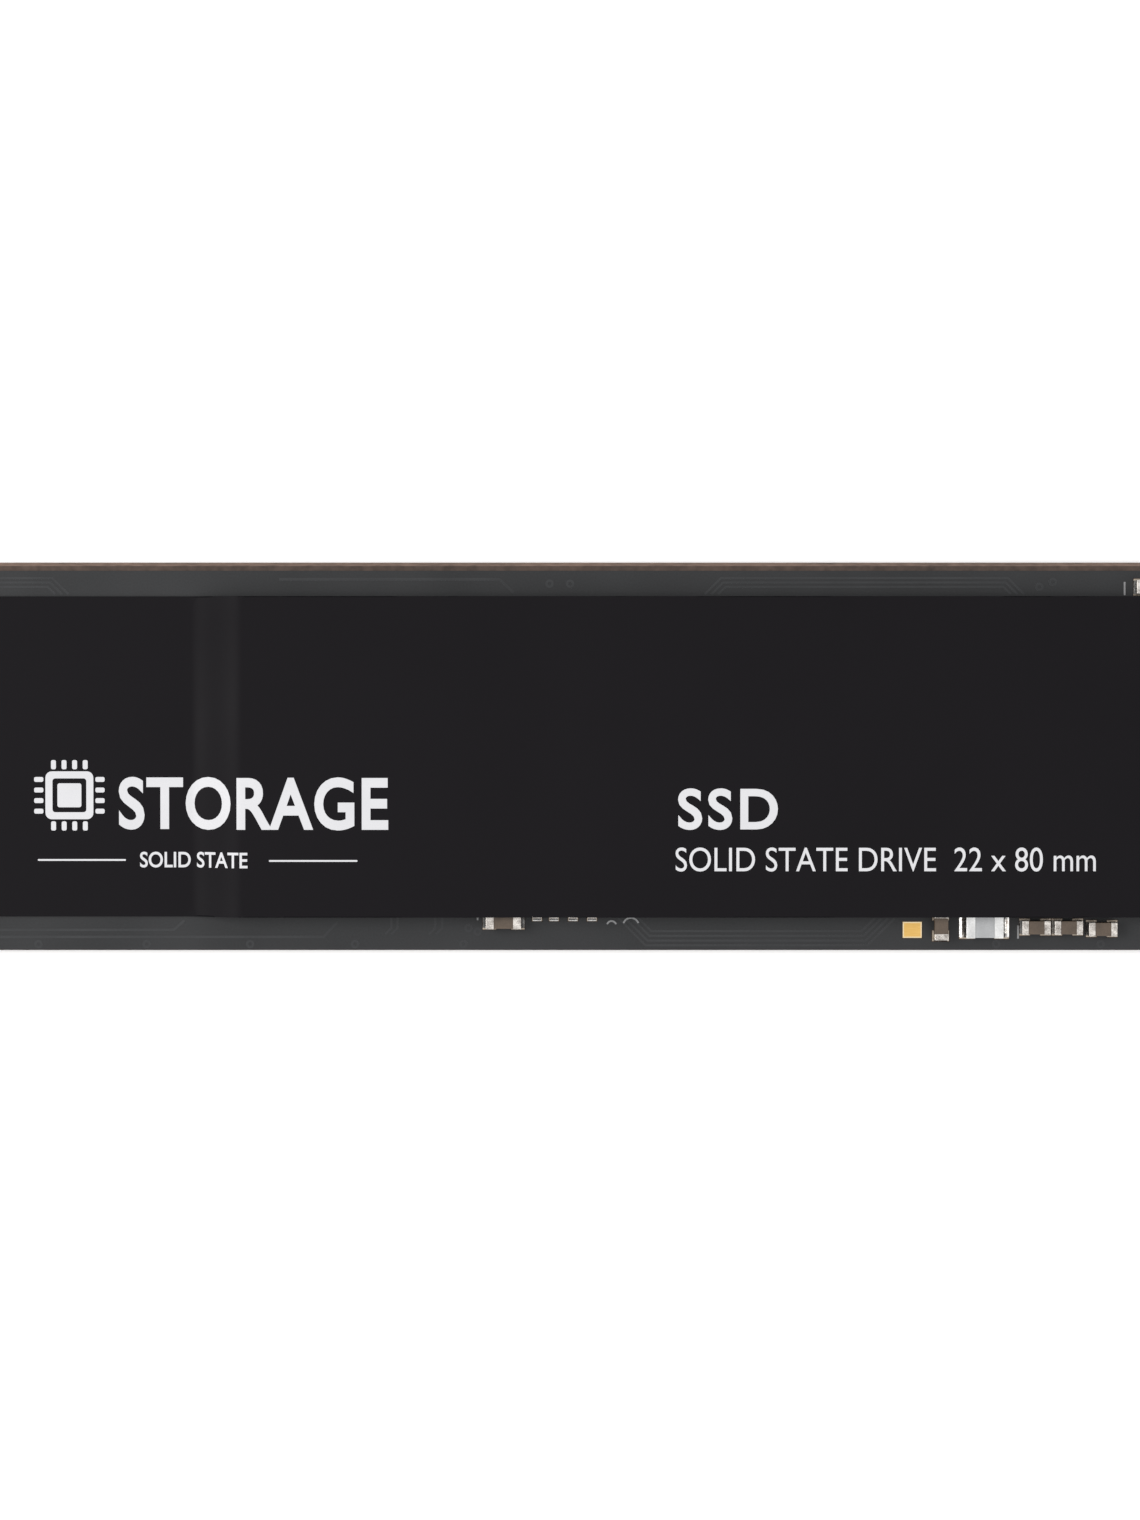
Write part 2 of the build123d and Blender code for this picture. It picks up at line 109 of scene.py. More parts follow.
FINISHES = {
    "laminate": Finish((0.060, 0.039, 0.030), (0.185, 0.124, 0.098), (0.60, 0.85), 0.5,
                       specular=0.3, stretch=(1, 1, 9), bump=0.5, bump_depth=0.01,
                       level_shade=0.42),
    "solder_mask": Finish((0.016, 0.0165, 0.0175), (0.024, 0.0245, 0.026), (0.34, 0.46), 0.10,
                          specular=0.26, bump=0.12, patch=6.0),
    "copper_land": Finish((0.22, 0.18, 0.14), (0.56, 0.49, 0.41), (0.30, 0.50), 0.08, metallic=1.0,
                          bump=0.3, patch=0.3),
    "gold": Finish((0.72, 0.42, 0.11), (0.86, 0.56, 0.19), (0.20, 0.42), 0.06,
                   metallic=1.0, stretch=(0.12, 1, 1), bump=0.10, bump_depth=0.002, patch=1.2),
    "label_black": Finish((0.0050, 0.0043, 0.0054), (0.0064, 0.0056, 0.0069), (0.50, 0.64), 0.05,
                          specular=0.07, bump=0.10, bump_depth=0.003, patch=9.0),
    "label_under": Finish((0.012, 0.012, 0.013), (0.017, 0.017, 0.018), (0.50, 0.64), 0.05,
                          specular=0.2, bump=0.10, bump_depth=0.003, patch=8.0),
    "label_glue": Finish((0.05, 0.05, 0.05), (0.09, 0.09, 0.085), (0.30, 0.50), 0.2, specular=0.4),
    "solder": Finish((0.28, 0.26, 0.25), (0.90, 0.90, 0.88), (0.14, 0.34), 0.10, metallic=1.0,
                     bump=0.3, bump_depth=0.008, patch=0.3),
    "chip_mould": Finish((0.014, 0.014, 0.015), (0.030, 0.030, 0.031), (0.50, 0.70), 0.05,
                         specular=0.35, bump=0.25),
    "silicon": Finish((0.16, 0.17, 0.21), (0.24, 0.25, 0.30), (0.10, 0.20), 0.4, metallic=0.6),
    "die_film": Finish((0.28, 0.26, 0.18), (0.36, 0.33, 0.25), (0.50, 0.70), 0.1),
    "chip_substrate": Finish((0.030, 0.060, 0.028), (0.060, 0.105, 0.045), (0.40, 0.60), 0.2,
                             stretch=(1, 1, 6)),
    "tinned_metal": Finish((0.20, 0.17, 0.15), (0.88, 0.84, 0.79), (0.24, 0.50), 0.07,
                           metallic=1.0, bump=0.45, bump_depth=0.008, patch=0.32),
    "bright_tin": Finish((0.62, 0.62, 0.61), (0.90, 0.90, 0.89), (0.28, 0.44), 0.07,
                         metallic=1.0, bump=0.30, bump_depth=0.006, patch=0.5),
    "capacitor_ceramic": Finish((0.044, 0.030, 0.019), (0.092, 0.064, 0.044), (0.40, 0.60), 0.05,
                                bump=0.20, patch=0.7),
    "white_ceramic": Finish((0.70, 0.70, 0.67), (0.84, 0.84, 0.81), (0.45, 0.60), 0.06),
    "fuse_ceramic": Finish((0.26, 0.265, 0.27), (0.38, 0.385, 0.39), (0.34, 0.50), 0.07,
                           bump=0.18, patch=0.8),
    "resistor_film": Finish((0.012, 0.012, 0.012), (0.022, 0.022, 0.022), (0.20, 0.35), 0.1),
    "ferrite": Finish((0.050, 0.050, 0.054), (0.095, 0.095, 0.100), (0.55, 0.75), 0.07, bump=0.35),
    "crystal_ceramic": Finish((0.050, 0.045, 0.043), (0.080, 0.073, 0.070), (0.50, 0.65), 0.08),
    "plated_lid": Finish((0.62, 0.60, 0.52), (0.80, 0.78, 0.70), (0.18, 0.32), 0.10,
                         metallic=1.0, stretch=(0.1, 1, 1)),
}
PRINT_FINISH = Finish((0.49, 0.49, 0.505), (0.55, 0.55, 0.565), (0.55, 0.70), 0.04, specular=0.25,
                      bump=0.12, bump_depth=0.002)
SILKSCREEN_FINISH = Finish((0.16, 0.16, 0.165), (0.26, 0.26, 0.265), (0.60, 0.75), 0.04,
                           specular=0.3)
TRACE_FINISH = Finish((0.020, 0.0205, 0.022), (0.030, 0.031, 0.033), (0.30, 0.42), 0.10,
                      specular=0.30, bump=0.10)
# painted highlight: pale gold that stands in for the bright edge round the test pad
PAD_HIGHLIGHT_RIM_FINISH = Finish((0.78, 0.60, 0.34), (0.92, 0.78, 0.55), (0.30, 0.45), 0.05, metallic=1.0)

NOISE_MIDDLE = (0.3, 0.7)  # the part of a noise value's range that most of it lies in
LEVEL_FACE_RANGE = (0.85, 0.97)  # upright part of the normal: from cut face to level face
GRAIN_SHARE = 0.55  # of the colour; the wide patches have the rest


def texture_space(tree, stretch, shift):
    """Object coordinates, squeezed along each axis by stretch and moved so slots don't repeat."""
    coordinate = tree.nodes.new("ShaderNodeTexCoord")
    mapping = tree.nodes.new("ShaderNodeMapping")
    mapping.inputs["Scale"].default_value = stretch
    mapping.inputs["Location"].default_value = (shift * MM, 0, 0)
    tree.links.new(coordinate.outputs["Object"], mapping.inputs["Vector"])
    return mapping.outputs["Vector"]


def noise(tree, space, grain_mm, detail=4.0):
    """Noise whose lumps are about grain_mm across, as a grey value."""
    texture = tree.nodes.new("ShaderNodeTexNoise")
    texture.inputs["Scale"].default_value = 1 / (grain_mm * MM)
    texture.inputs["Detail"].default_value = detail
    tree.links.new(space, texture.inputs["Vector"])
    return texture.outputs["Fac"]


def spread(tree, value, low, high):
    """Maps the middle of a noise value's range onto low to high."""
    remap = tree.nodes.new("ShaderNodeMapRange")
    remap.inputs["From Min"].default_value = NOISE_MIDDLE[0]
    remap.inputs["From Max"].default_value = NOISE_MIDDLE[1]
    remap.inputs["To Min"].default_value = low
    remap.inputs["To Max"].default_value = high
    tree.links.new(value, remap.inputs["Value"])
    return remap.outputs["Result"]


def shade_level_faces(tree, colour, share):
    """Multiplies a colour by share where the face is level."""
    geometry = tree.nodes.new("ShaderNodeNewGeometry")
    split = tree.nodes.new("ShaderNodeSeparateXYZ")
    tree.links.new(geometry.outputs["True Normal"], split.inputs["Vector"])
    upright = tree.nodes.new("ShaderNodeMath")
    upright.operation = "ABSOLUTE"
    tree.links.new(split.outputs["Z"], upright.inputs[0])
    factor = tree.nodes.new("ShaderNodeMapRange")
    factor.inputs["From Min"].default_value = LEVEL_FACE_RANGE[0]
    factor.inputs["From Max"].default_value = LEVEL_FACE_RANGE[1]
    factor.inputs["To Min"].default_value = 1.0
    factor.inputs["To Max"].default_value = share
    tree.links.new(upright.outputs[0], factor.inputs["Value"])
    scale = tree.nodes.new("ShaderNodeVectorMath")
    scale.operation = "SCALE"
    tree.links.new(colour, scale.inputs[0])
    tree.links.new(factor.outputs["Result"], scale.inputs["Scale"])
    return scale.outputs["Vector"]


def make_material(name, finish):
    """Principled surface with grain in its colour, gloss and relief, plus wide soft patches."""
    material = bpy.data.materials.new(name)
    material.use_nodes = True
    tree = material.node_tree
    surface = tree.nodes["Principled BSDF"]
    surface.inputs["Metallic"].default_value = finish.metallic
    surface.inputs["Specular IOR Level"].default_value = finish.specular
    space = texture_space(tree, finish.stretch, len(bpy.data.materials))
    fine = noise(tree, space, finish.grain)
    wide = noise(tree, space, finish.patch, detail=2.0)

    blend = tree.nodes.new("ShaderNodeMath")
    blend.operation = "ADD"
    tree.links.new(spread(tree, fine, 0.0, GRAIN_SHARE), blend.inputs[0])
    tree.links.new(spread(tree, wide, 0.0, 1 - GRAIN_SHARE), blend.inputs[1])
    colours = tree.nodes.new("ShaderNodeValToRGB")
    colours.color_ramp.elements[0].color = (*finish.dark, 1)
    colours.color_ramp.elements[1].color = (*finish.light, 1)
    tree.links.new(blend.outputs[0], colours.inputs["Fac"])
    colour = colours.outputs["Color"]
    if finish.level_shade < 1.0:
        colour = shade_level_faces(tree, colour, finish.level_shade)
    tree.links.new(colour, surface.inputs["Base Color"])
    tree.links.new(spread(tree, wide, *finish.roughness), surface.inputs["Roughness"])

    relief_node = tree.nodes.new("ShaderNodeBump")
    relief_node.inputs["Strength"].default_value = finish.bump
    relief_node.inputs["Distance"].default_value = finish.bump_depth * MM
    tree.links.new(fine, relief_node.inputs["Height"])
    tree.links.new(relief_node.outputs["Normal"], surface.inputs["Normal"])
    return material


MATERIALS = {slot: make_material(slot, finish) for slot, finish in FINISHES.items()}
PRINT = make_material("label_print", PRINT_FINISH)
SILKSCREEN = make_material("silkscreen", SILKSCREEN_FINISH)
TRACE = make_material("coated_trace", TRACE_FINISH)
# material of the painted highlight rim round the test pad
PAD_HIGHLIGHT_RIM = make_material("pad_highlight_rim", PAD_HIGHLIGHT_RIM_FINISH)


def dress_nodes():
    """Gives every CAD node the material of its slot in the record."""
    for subpart in frame["record"]["subparts"]:
        mesh = frame["nodes"][subpart["node"]].data
        mesh.materials.clear()
        mesh.materials.append(MATERIALS[subpart["material_slot"]])


# ---------------------------------------------------------------- mesh helpers, in millimetres

def new_piece(name, bm, material):
    """Turns a bmesh in millimetres into a piece of the object."""
    bmesh.ops.recalc_face_normals(bm, faces=bm.faces)
    bmesh.ops.scale(bm, vec=(MM, MM, MM), verts=bm.verts)
    mesh = bpy.data.meshes.new(name)
    bm.to_mesh(mesh)
    bm.free()
    mesh.materials.append(material)
    piece = bpy.data.objects.new(name, mesh)
    bpy.context.collection.objects.link(piece)
    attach(piece, "root")
    return piece


def prism(bm, outline, low, high):
    """Closed prism on an outline of (x, y) points."""
    floor = [bm.verts.new((x, y, low)) for x, y in outline]
    roof = [bm.verts.new((x, y, high)) for x, y in outline]
    bm.faces.new(floor)
    bm.faces.new(roof)
    for index in range(len(outline)):
        after = (index + 1) % len(outline)
        bm.faces.new((floor[index], floor[after], roof[after], roof[index]))


def arc(centre, radius, start, end, steps):
    """Points on an arc, angles in degrees."""
    angles = [math.radians(start + (end - start) * step / steps) for step in range(steps + 1)]
    return [(centre[0] + radius * math.cos(a), centre[1] + radius * math.sin(a)) for a in angles]


def rounded_box(x0, y0, x1, y1, radius, steps=5):
    """Outline of a rectangle with round corners."""
    outline = []
    for corner_x, corner_y, start in (
        (x1 - radius, y1 - radius, 0),
        (x0 + radius, y1 - radius, 90),
        (x0 + radius, y0 + radius, 180),
        (x1 - radius, y0 + radius, 270),
    ):
        outline += arc((corner_x, corner_y), radius, start, start + 90, steps)
    return outline


def ribbon(points, width):
    """Outline of a path of straight runs with mitred turns."""
    left, right = [], []
    for index, (x, y) in enumerate(points):
        before = points[max(index - 1, 0)]
        after = points[min(index + 1, len(points) - 1)]
        run_in = math.atan2(y - before[1], x - before[0]) if index else None
        run_out = math.atan2(after[1] - y, after[0] - x) if index < len(points) - 1 else run_in
        run_in = run_out if run_in is None else run_in
        turn = (run_in + run_out) / 2
        reach = width / 2 / math.cos((run_out - run_in) / 2)
        left.append((x - reach * math.sin(turn), y + reach * math.cos(turn)))
        right.append((x + reach * math.sin(turn), y - reach * math.cos(turn)))
    return left + right[::-1]


def closed_band(bm, outlines, levels):
    """Joins outlines with as many points each, at their levels, into a closed band."""
    loops = []
    for outline, level in zip(outlines, levels):
        loops.append([bm.verts.new((x, y, level)) for x, y in outline])
    for loop, following in zip(loops, loops[1:] + loops[:1]):
        for index in range(len(loop)):
            after = (index + 1) % len(loop)
            bm.faces.new((loop[index], loop[after], following[after], following[index]))


def ring(bm, centre, inner, outer, low, high, steps=20):
    """Closed flat ring."""
    inside, outside = (arc(centre, radius, 0, 360, steps)[:-1] for radius in (inner, outer))
    closed_band(bm, (inside, outside, outside, inside), (low, low, high, high))


def frame_bars(x0, y0, x1, y1, line):
    """The four bars of a rectangular frame, as corners of boxes."""
    return [
        (x0, y1 - line, x1, y1),
        (x0, y0, x1, y0 + line),
        (x0, y0 + line, x0 + line, y1 - line),
        (x1 - line, y0 + line, x1, y1 - line),
    ]


def smooth_step(value):
    """0 below 0, 1 above 1, with level ends."""
    value = min(max(value, 0.0), 1.0)
    return value * value * (3 - 2 * value)


# ---------------------------------------------------------------- labels

RAMP_LENGTH = 3.0  # of the climb from the board onto the first flash package
RAMP_END = FLASH_A_LOW[0] - 0.1
RAMP_START = RAMP_END - RAMP_LENGTH
FLAT_STEPS, RAMP_STEPS, CHIP_STEPS = 30, 40, 130  # mesh columns before, on and past the ramp
CORNER_STEPS, MIDDLE_STEPS = 8, 34  # mesh rows in a corner and between the corners
FILM_CORNER = 1.0
FILM_EDGE_RADIUS = 0.02
GLUE_INSET = 0.03  # how far the glue stays inside the film
GLUE_CLEARANCE = 0.002  # keeps the glue off what it lies on
FLASH_GAP_SAG = 0.05  # of the film between the two flash packages
CONTROLLER_GAP_SAG = 0.015  # of the film between the flash and the controller
END_FALL, END_FALL_LENGTH = 0.03, 3.0  # of the film past the controller
DROOP, DROOP_WIDTH, DROOP_START = 0.04, 1.6, 1.5  # of the film's long edges past the flash packages
WAVE_HEIGHT = 0.004  # of the film's faint ripples


def hollow_between(x, start, end, depth):
    """Sag of a film stretched over a gap."""
    if not start < x < end:
        return 0.0
    return depth * math.sin(math.pi * (x - start) / (end - start)) ** 2


def film_top(x, y):
    """Height of the upper label's face: low on the board, then up and over the chips."""
    climb = smooth_step((x - RAMP_START) / RAMP_LENGTH)
    sag = hollow_between(x, FLASH_A_HIGH[0], FLASH_B_LOW[0], FLASH_GAP_SAG)
    sag += hollow_between(x, FLASH_B_HIGH[0], CONTROLLER_LOW[0], CONTROLLER_GAP_SAG)
    past_chips = smooth_step((x - CONTROLLER_HIGH[0]) / END_FALL_LENGTH) * END_FALL
    from_edge = LABEL_HALF_WIDTH - abs(y - LABEL_MIDDLE_Y)
    loose = smooth_step((x - FLASH_B_HIGH[0]) / DROOP_START)
    droop = loose * DROOP * smooth_step(1 - from_edge / DROOP_WIDTH)
    waves = WAVE_HEIGHT * math.sin(x * 0.9 + 0.4 * y) * math.sin(y * 0.8 + 1.1)
    return LOW_FILM_TOP + climb * (LABEL_RISE - sag - past_chips - droop - WAVE_HEIGHT + waves)


def ramp_columns(steps):
    """The first steps places along the ramp."""
    return [RAMP_START + RAMP_LENGTH * step / RAMP_STEPS for step in range(steps)]


def column_shares(start, end):
    """Places along a film as shares of its length: close together on the ramp."""
    xs = [start + (RAMP_START - start) * step / FLAT_STEPS for step in range(FLAT_STEPS)]
    xs += ramp_columns(RAMP_STEPS)
    xs += [RAMP_END + (end - RAMP_END) * step / CHIP_STEPS for step in range(CHIP_STEPS + 1)]
    return [(x - start) / (end - start) for x in xs]


def film_bm(low, high, corner, top_height, thickness):
    """Thin sheet with round corners whose top follows top_height(x, y)."""
    quarter = math.pi / 2
    from_edge = [corner * (1 - math.cos(quarter * step / CORNER_STEPS)) for step in range(CORNER_STEPS)]
    middle = high[1] - low[1] - 2 * corner
    rows = [low[1] + step for step in from_edge]
    rows += [low[1] + corner + middle * step / MIDDLE_STEPS for step in range(MIDDLE_STEPS + 1)]
    rows += [high[1] - step for step in reversed(from_edge)]
    shares = column_shares(low[0], high[0])
    columns = len(shares) - 1
    bm = bmesh.new()
    top, bottom = [], []
    for y in rows:
        depth = min(y - low[1], high[1] - y, corner)
        inset = corner - math.sqrt(max(corner ** 2 - (corner - depth) ** 2, 0.0))
        start, end = low[0] + inset, high[0] - inset
        xs = [start + (end - start) * share for share in shares]
        top.append([bm.verts.new((x, y, top_height(x, y))) for x in xs])
        bottom.append([bm.verts.new((x, y, top_height(x, y) - thickness)) for x in xs])
    for row in range(len(rows) - 1):
        for column in range(columns):
            for sheet in (top, bottom):
                bm.faces.new((sheet[row][column], sheet[row][column + 1],
                              sheet[row + 1][column + 1], sheet[row + 1][column]))
    rim = [(0, column) for column in range(columns)]
    rim += [(row, columns) for row in range(len(rows) - 1)]
    rim += [(len(rows) - 1, column) for column in range(columns, 0, -1)]
    rim += [(row, 0) for row in range(len(rows) - 1, 0, -1)]
    for (row, column), (next_row, next_column) in zip(rim, rim[1:] + rim[:1]):
        bm.faces.new((top[row][column], top[next_row][next_column],
                      bottom[next_row][next_column], bottom[row][column]))
    return bm


def shade_film(piece):
    """Rounds a film's cut edge a little and smooths its face."""
    for polygon in piece.data.polygons:
        polygon.use_smooth = True
    bevel = piece.modifiers.new("edge", "BEVEL")
    bevel.width = FILM_EDGE_RADIUS * MM
    bevel.segments = 2
    bevel.limit_method = "ANGLE"
    bevel.angle_limit = math.radians(50)
    bevel.harden_normals = True


def make_labels():
    """The upper label, its glue and the lower label."""
    sheet = film_bm(FILM_LOW, FILM_HIGH, FILM_CORNER, film_top, FILM_THICKNESS)
    film = new_piece("label_film", sheet, MATERIALS["label_black"])
    shade_film(film)
    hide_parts("top_label")

    sheet = film_bm(
        [FILM_LOW[0] + GLUE_INSET, FILM_LOW[1] + GLUE_INSET],
        [FILM_HIGH[0] - GLUE_INSET, FILM_HIGH[1] - GLUE_INSET],
        FILM_CORNER - GLUE_INSET,
        lambda x, y: film_top(x, y) - FILM_THICKNESS,
        GLUE_THICKNESS - GLUE_CLEARANCE,
    )
    glue = new_piece("label_glue_layer", sheet, MATERIALS["label_glue"])
    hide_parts("top_label_glue")

    sheet = film_bm(UNDER_FILM_LOW, UNDER_FILM_HIGH, FILM_CORNER,
                    lambda x, y: UNDER_FILM_HIGH[2], FILM_THICKNESS)
    under = new_piece("under_label_film", sheet, MATERIALS["label_under"])
    shade_film(under)
    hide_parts("bottom_label")


# ---------------------------------------------------------------- print on the labels

PRINT_THICKNESS = 0.006
PRINT_SINK = 0.001  # how far the print's foot goes into the film


def drape(bm):
    """Lays flat print, whose z is height above the film, onto the upper label."""
    for x in ramp_columns(RAMP_STEPS + 1):
        everything = bm.verts[:] + bm.edges[:] + bm.faces[:]
        bmesh.ops.bisect_plane(bm, geom=everything, plane_co=(x, 0, 0), plane_no=(1, 0, 0), dist=1e-6)
    for vert in bm.verts:
        vert.co.z += film_top(vert.co.x, vert.co.y) - PRINT_SINK


def words_bm(words, x0, baseline, height, narrow, embolden, spacing):
    """Flat lettering from x0 along, its capitals height tall, its width scaled by narrow."""
    curve = bpy.data.curves.new("words", "FONT")
    curve.body = words
    curve.offset = embolden
    curve.space_character = spacing
    curve.extrude = 0.5
    curve.resolution_u = 6
    holder = bpy.data.objects.new("words", curve)
    bpy.context.collection.objects.link(holder)
    depsgraph = bpy.context.evaluated_depsgraph_get()
    mesh = bpy.data.meshes.new_from_object(holder.evaluated_get(depsgraph))
    bm = bmesh.new()
    bm.from_mesh(mesh)
    bpy.data.objects.remove(holder)
    bpy.data.curves.remove(curve)
    bpy.data.meshes.remove(mesh)
    bmesh.ops.remove_doubles(bm, verts=bm.verts, dist=1e-5)
    lows = [min(vert.co[axis] for vert in bm.verts) for axis in range(3)]
    highs = [max(vert.co[axis] for vert in bm.verts) for axis in range(3)]
    tall, thick = highs[1] - lows[1], highs[2] - lows[2]
    for vert in bm.verts:
        vert.co.x = x0 + (vert.co.x - lows[0]) / tall * height * narrow
        vert.co.y = baseline + (vert.co.y - lows[1]) / tall * height
        vert.co.z = (vert.co.z - lows[2]) / thick * PRINT_THICKNESS
    return bm


def print_words(name, words, x0, baseline, height, narrow=0.86, embolden=0.0, spacing=1.0):
    """Generic lettering on the upper label."""
    bm = words_bm(words, x0, baseline, height, narrow, embolden, spacing)
    drape(bm)
    new_piece(name, bm, PRINT)


def chip_sign(bm, left, bottom, side):
    """A plain chip pictogram: a rounded square frame, a solid middle and short pins."""
    pin_reach = side * 0.16  # the pins and their gap to the frame
    pin_gap = pin_reach * 0.18
    pin_half = side * 0.035
    pin_pitch = side * 0.15
    frame_width = side * 0.10
    middle = side * 0.17
    x0, y0 = left + pin_reach, bottom + pin_reach
    x1, y1 = left + side - pin_reach, bottom + side - pin_reach
    outer = rounded_box(x0, y0, x1, y1, side * 0.09)
    inner = rounded_box(x0 + frame_width, y0 + frame_width, x1 - frame_width, y1 - frame_width,
                        side * 0.04)
    closed_band(bm, (inner, outer, outer, inner), (0.0, 0.0, PRINT_THICKNESS, PRINT_THICKNESS))
    centre_x, centre_y = left + side / 2, bottom + side / 2
    prism(bm, rounded_box(centre_x - middle, centre_y - middle, centre_x + middle, centre_y + middle,
                          side * 0.03), 0, PRINT_THICKNESS)
    for step in (-1.5, -0.5, 0.5, 1.5):
        x, y = centre_x + step * pin_pitch, centre_y + step * pin_pitch
        for pin in (
            (left, y - pin_half, x0 - pin_gap, y + pin_half),
            (x1 + pin_gap, y - pin_half, left + side, y + pin_half),
            (x - pin_half, bottom, x + pin_half, y0 - pin_gap),
            (x - pin_half, y1 + pin_gap, x + pin_half, bottom + side),
        ):
            prism(bm, rounded_box(*pin, pin_half * 0.6, 2), 0, PRINT_THICKNESS)


def make_print():
    """Generic marks in the two places where such labels carry print."""
    sign = bmesh.new()
    chip_sign(sign, -30.4, -4.2, 4.0)
    drape(sign)
    new_piece("print_chip_sign", sign, PRINT)
    print_words("print_storage_word", "STORAGE", -25.6, -4.15, 3.0,
                narrow=0.84, embolden=0.024, spacing=1.06)
    rule_low, rule_high = -5.92, -5.82
    rules = bmesh.new()
    for start, end in ((-30.2, -25.2), (-17.0, -12.0)):
        prism(rules, rounded_box(start, rule_low, end, rule_high, 0.04, 2), 0, PRINT_THICKNESS)
    drape(rules)
    new_piece("print_rules", rules, PRINT)
    print_words("print_small_words", "SOLID STATE", -24.4, -6.3, 0.9, embolden=0.015)
    print_words("print_ssd_word", "SSD", 6.1, -4.12, 2.35, narrow=1.0, embolden=0.022, spacing=1.16)
    print_words("print_line", "SOLID STATE DRIVE  22 x 80 mm", 5.96, -6.47, 1.36)


def make_under_print():
    """Plain ruled fields and text bars on the lower label, facing down."""
    low, high = UNDER_FILM_LOW[2] - PRINT_THICKNESS, UNDER_FILM_LOW[2] + 0.002
    margin, line = 2, 0.12
    first_field, last_field = 16, 14
    bar_inset, bar_length, bar_half = 18, 20, 0.35
    bar_drop, bar_pitch, bar_shortening = 2.4, 2.2, 2.5
    x0, y0 = UNDER_FILM_LOW[0] + margin, UNDER_FILM_LOW[1] + margin
    x1, y1 = UNDER_FILM_HIGH[0] - margin, UNDER_FILM_HIGH[1] - margin
    bm = bmesh.new()
    bars = frame_bars(x0, y0, x1, y1, line)
    for divider in (x0 + first_field, x1 - last_field):
        bars.append((divider, y0 + line, divider + line, y1 - line))
    for bar in bars:
        prism(bm, rounded_box(*bar, 0.03, 2), low, high)
    for row in range(5):
        y = y1 - bar_drop - bar_pitch * row
        start = x0 + bar_inset
        end = start + bar_length - bar_shortening * (row % 3)
        prism(bm, rounded_box(start, y - bar_half, end, y + bar_half, 0.2, 3), low, high)
    new_piece("under_print_fields", bm, PRINT)


# ---------------------------------------------------------------- relief on the board

TRACE_RELIEF = 0.006  # how far traces and vias stand out of the mask
TRACE_SINK = 0.003  # how far their feet go into it
TRACE_WIDTH = 0.12
LANE_LEAD = 0.38  # how far each lane's turns are shifted along from the last lane's
LABEL_EDGE_Y = 9.2  # where traces go under the upper label
FINGER_PITCH = 0.5
KEY_NOTCH_Y = -6.125


def top_lanes(bm, low, high):
    """Bundles of parallel traces beside the upper label, and a few single ones."""
    for lane in range(4):
        lead = LANE_LEAD * lane
        y = -9.92 - 0.27 * lane
        fall = -LABEL_EDGE_Y - y
        start, end = 3.9 - lead, 17.3 + lead
        points = [(start, -LABEL_EDGE_Y), (start + fall, y), (end - fall, y), (end, -LABEL_EDGE_Y)]
        prism(bm, ribbon(points, TRACE_WIDTH), low, high)
    for x in (-10.15, -9.80, -7.66, -7.26):
        prism(bm, ribbon([(x, -9.0), (x, -9.75), (x - 0.35, -10.1)], TRACE_WIDTH), low, high)
    for lane in range(3):
        lead = LANE_LEAD * lane
        y = 9.62 + 0.25 * lane
        rise = y - LABEL_EDGE_Y
        left_end = -29.2 + lead
        start, end = 8.4 - lead, 25.0 + lead
        for points in (
            [(-37.0, y), (left_end - rise, y), (left_end, LABEL_EDGE_Y)],
            [(start, LABEL_EDGE_Y), (start + rise, y), (end - rise, y), (end, LABEL_EDGE_Y)],
        ):
            prism(bm, ribbon(points, TRACE_WIDTH), low, high)
    for points, width in (
        ([(-16.5, 10.05), (-4.0, 10.05), (-3.2, 9.3)], 0.16),
        ([(-35.5, -9.85), (-22.5, -9.85), (-21.9, -9.3)], 0.14),
        ([(-34.8, -10.25), (-14.0, -10.25), (-13.2, -9.4)], 0.14),
    ):
        prism(bm, ribbon(points, width), low, high)


def finger_traces(bm, low, high):
    """Short runs from the gold fingers to the label, none at the key notch or past the ends."""
    finger_half = 0.175
    notch_margin, last_y = 0.9, 8.8
    first_x, turn_x, end_x = MASK_HIGH[0] - 0.05, 35.4, 34.3
    inward = 0.985  # the runs close up a little towards the board's middle line
    fingers = int(round((FINGERS_HIGH[1] - FINGERS_LOW[1]) / FINGER_PITCH))
    for index in range(fingers):
        y = FINGERS_HIGH[1] - finger_half - index * FINGER_PITCH
        if abs(y - KEY_NOTCH_Y) < notch_margin or abs(y) > last_y:
            continue
        prism(bm, ribbon([(first_x, y), (turn_x, y), (end_x, y * inward)], 0.16), low, high)


def under_lanes(bm, low, high):
    """Bundles along both long edges of the underside, and a fan past the lower label's end."""
    for lane in range(5):
        y = 9.75 + 0.22 * lane
        start, end = -36.0 + lane * 0.4, 34.4 - lane * 0.5
        for side in (1, -1):
            prism(bm, ribbon([(start, side * y), (end, side * y)], 0.11), low, high)
    jog = 0.5
    for lane in range(12):
        y = -6.6 + 1.2 * lane
        points = [(-31.0, y), (-32.6, y), (-33.4, y + jog), (-36.2, y + jog)]
        prism(bm, ribbon(points, 0.13), low, high)


def make_traces():
    """Copper runs under the mask that show as low ridges where no label covers them."""
    low, high = BOARD_TOP - TRACE_SINK, BOARD_TOP + TRACE_RELIEF
    bm = bmesh.new()
    top_lanes(bm, low, high)
    finger_traces(bm, low, high)
    new_piece("board_traces", bm, TRACE)

    low, high = BOARD_UNDER - TRACE_RELIEF, BOARD_UNDER + TRACE_SINK
    bm = bmesh.new()
    under_lanes(bm, low, high)
    new_piece("board_traces_under", bm, TRACE)


